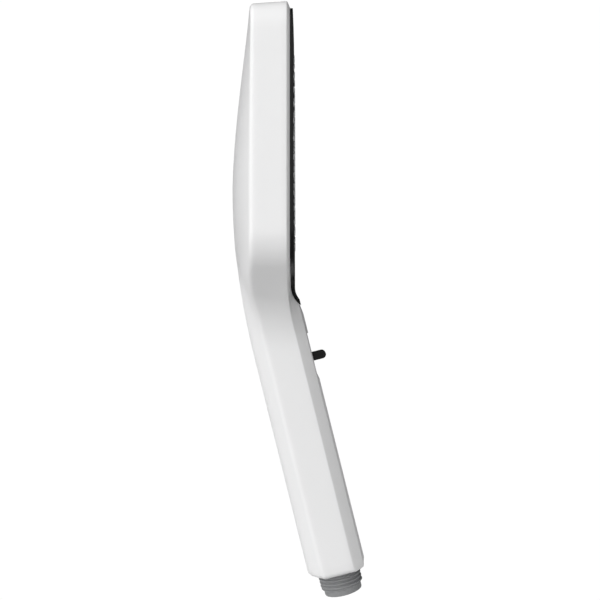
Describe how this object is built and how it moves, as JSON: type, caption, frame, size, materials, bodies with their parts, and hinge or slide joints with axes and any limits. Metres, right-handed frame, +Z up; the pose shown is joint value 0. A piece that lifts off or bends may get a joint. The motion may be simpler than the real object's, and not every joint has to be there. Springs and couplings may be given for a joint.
{
  "type": "hand shower",
  "caption": "Handheld shower with a rounded square head, a circular field of jets, a thumb slider on a tilted handle and a threaded hose inlet.",
  "frame": {"origin": "centre of the hose inlet's open end, on the handle's axis", "axes": "+Z up along the spray face, -Y the way the spray face looks, X across; the handle's axis leans 14 degrees from +Z towards +Y"},
  "size_m": [0.1218, 0.0647, 0.2781],
  "materials": {
    "shell_white": "gloss",
    "face_black": "satin",
    "silicone_grey": "matte",
    "acetal_natural": "matte",
    "rubber_black": "matte",
    "stainless": "satin",
    "inlet_grey": "satin",
    "limiter_grey": "matte",
    "slider_black": "satin"
  },
  "bodies": {
    "shower": {"body_shell": "shell_white", "spray_face": "face_black", "nozzle_mat": "silicone_grey", "jet_plate": "acetal_natural", "zone_gaskets": "rubber_black", "zone_plate": "acetal_natural", "zone_screws": "stainless", "inlet_connector": "inlet_grey", "inlet_clip": "stainless", "inlet_strainer": "acetal_natural", "flow_limiter": "limiter_grey", "limiter_seal": "rubber_black", "check_housing": "acetal_natural", "check_spring": "stainless", "water_tube": "acetal_natural", "tube_seals": "rubber_black", "valve_body": "acetal_natural", "valve_cap": "limiter_grey", "detent_leaf": "stainless", "feed_duct": "acetal_natural", "duct_seal": "rubber_black"},
    "slider": {"thumb_tab": "slider_black", "slide_carriage": "slider_black", "valve_spool": "limiter_grey", "spool_seals": "rubber_black"},
    "poppet": {"check_poppet": "limiter_grey"}
  },
  "joints": [
    {"name": "mode_slide", "type": "slide", "parent": "shower", "child": "slider", "axis": [0, 0.2419, 0.9703], "range_m": [-0.006, 0.006], "deforming": ["detent_leaf"]},
    {"name": "check_valve", "type": "slide", "parent": "shower", "child": "poppet", "axis": [0, 0.2419, 0.9703], "range_m": [0, 0.0024], "stiffness_N_per_m": 60, "deforming": ["check_spring"]}
  ]
}
